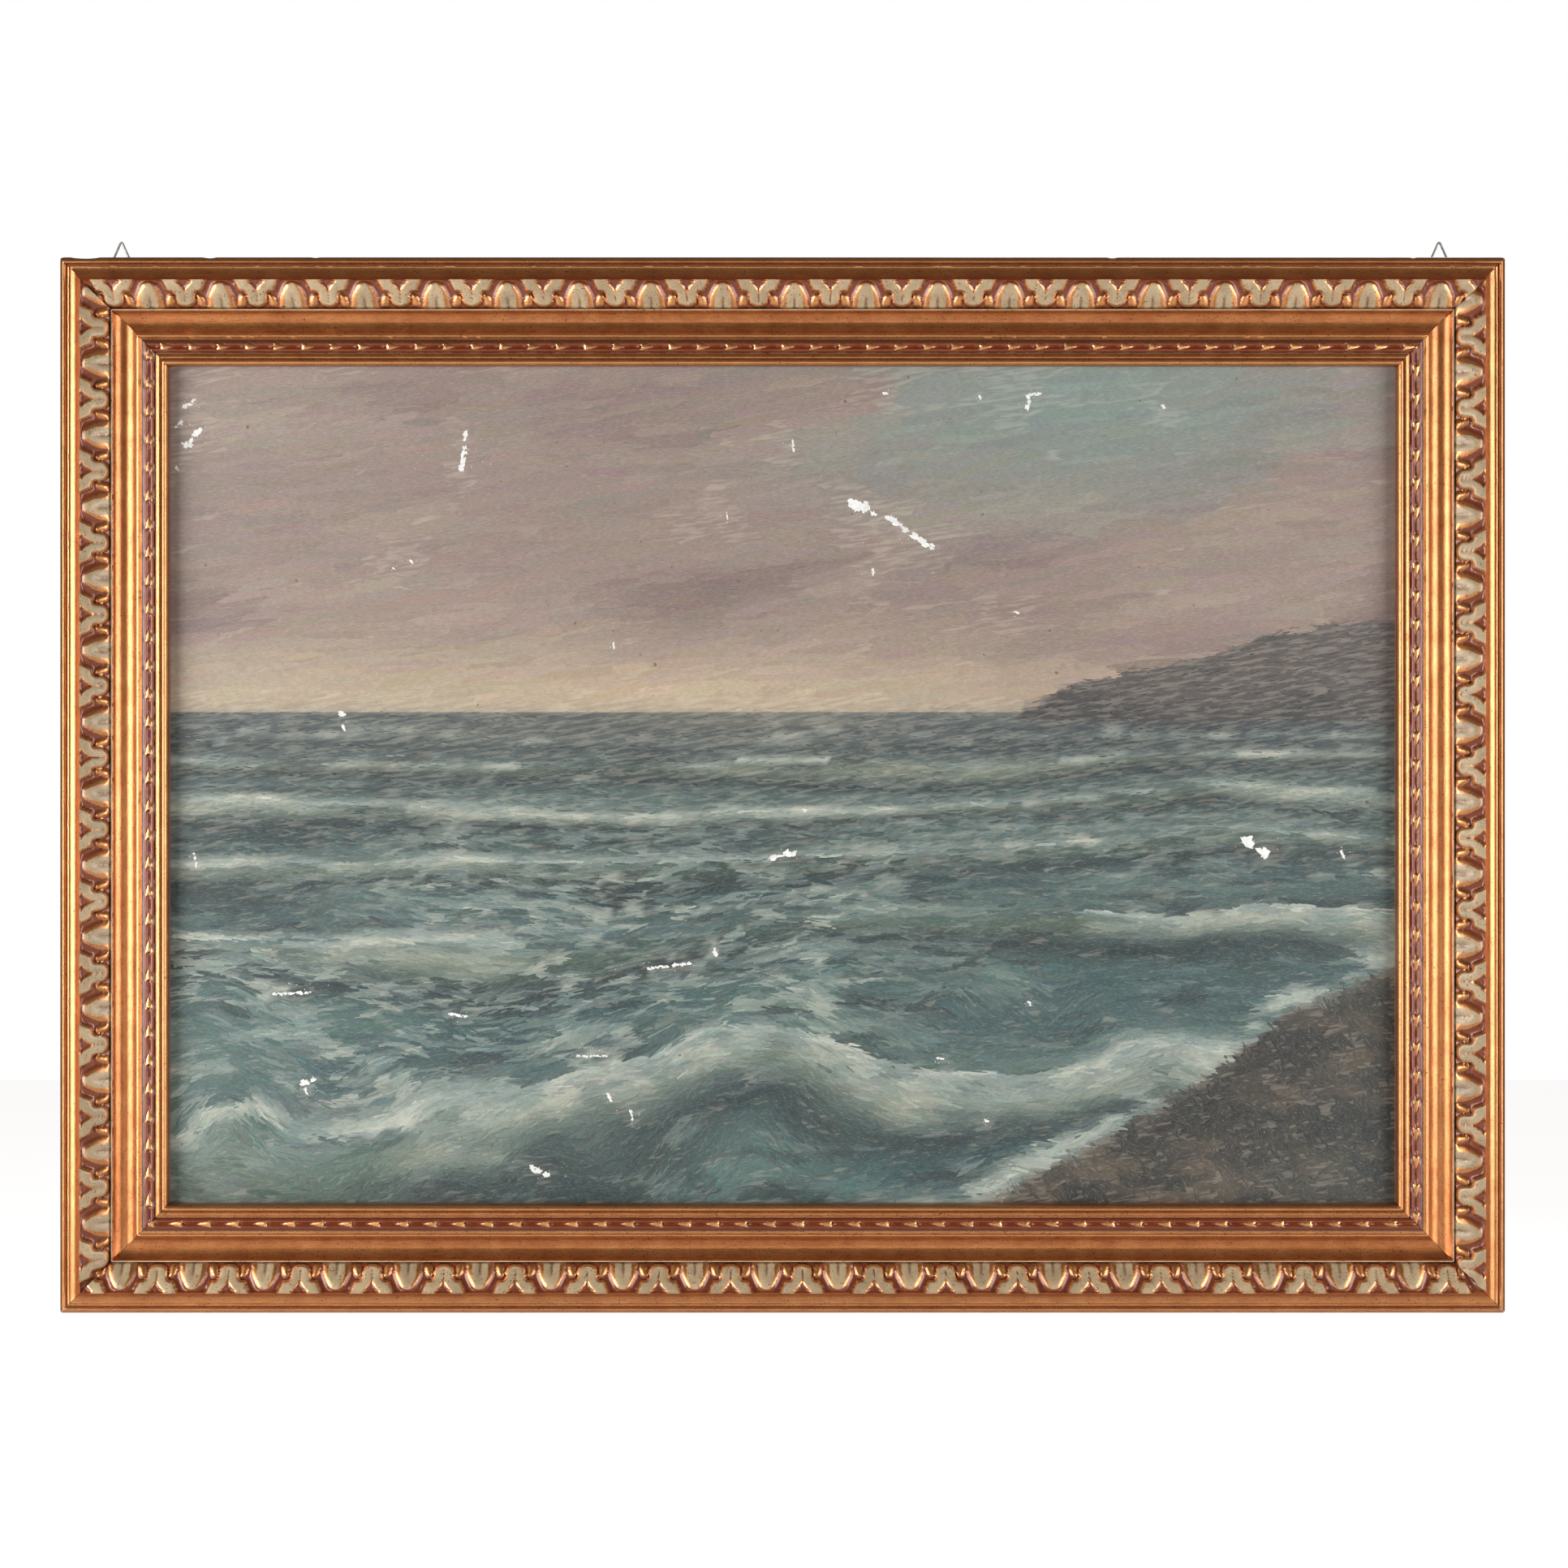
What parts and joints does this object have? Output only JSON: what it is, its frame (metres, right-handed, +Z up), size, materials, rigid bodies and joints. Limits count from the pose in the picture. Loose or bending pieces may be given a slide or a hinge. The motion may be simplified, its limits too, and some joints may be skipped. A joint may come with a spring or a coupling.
{
  "type": "framed oil painting",
  "caption": "Oil painting on stretched canvas in a carved and gilded mitred frame, with ring hangers on the back to hang it on a wall.",
  "frame": {"origin": "on the flat back of the top length of moulding, half way along it and 32 mm below its outer edge, where the frame lies against a wall", "axes": "+X along the picture's width to the right as one looks at the painting, +Y out of the back into the wall, +Z up"},
  "size_m": [0.928, 0.0492, 0.6924],
  "materials": {
    "moulding": "gilded gesso on wood, toned with a grey wash, rubbed to gold and red-brown bole",
    "canvas": "oil paint on woven canvas, thick strokes with small paint losses",
    "stretcher": "plain aged pine",
    "ironwork": "darkened steel"
  },
  "bodies": {
    "root": {"rail_top": "moulding", "rail_right": "moulding", "rail_bottom": "moulding", "rail_left": "moulding", "canvas": "canvas", "stretcher_top": "stretcher", "stretcher_right": "stretcher", "stretcher_bottom": "stretcher", "stretcher_left": "stretcher", "canvas_nail_1": "ironwork", "canvas_nail_2": "ironwork", "canvas_nail_3": "ironwork", "canvas_nail_4": "ironwork", "canvas_nail_5": "ironwork", "canvas_nail_6": "ironwork", "hanger_strap_left": "ironwork", "hanger_strap_right": "ironwork", "hanger_ring_left": "ironwork", "hanger_ring_right": "ironwork", "hanger_screw_left": "ironwork", "hanger_screw_right": "ironwork"}
  },
  "joints": []
}
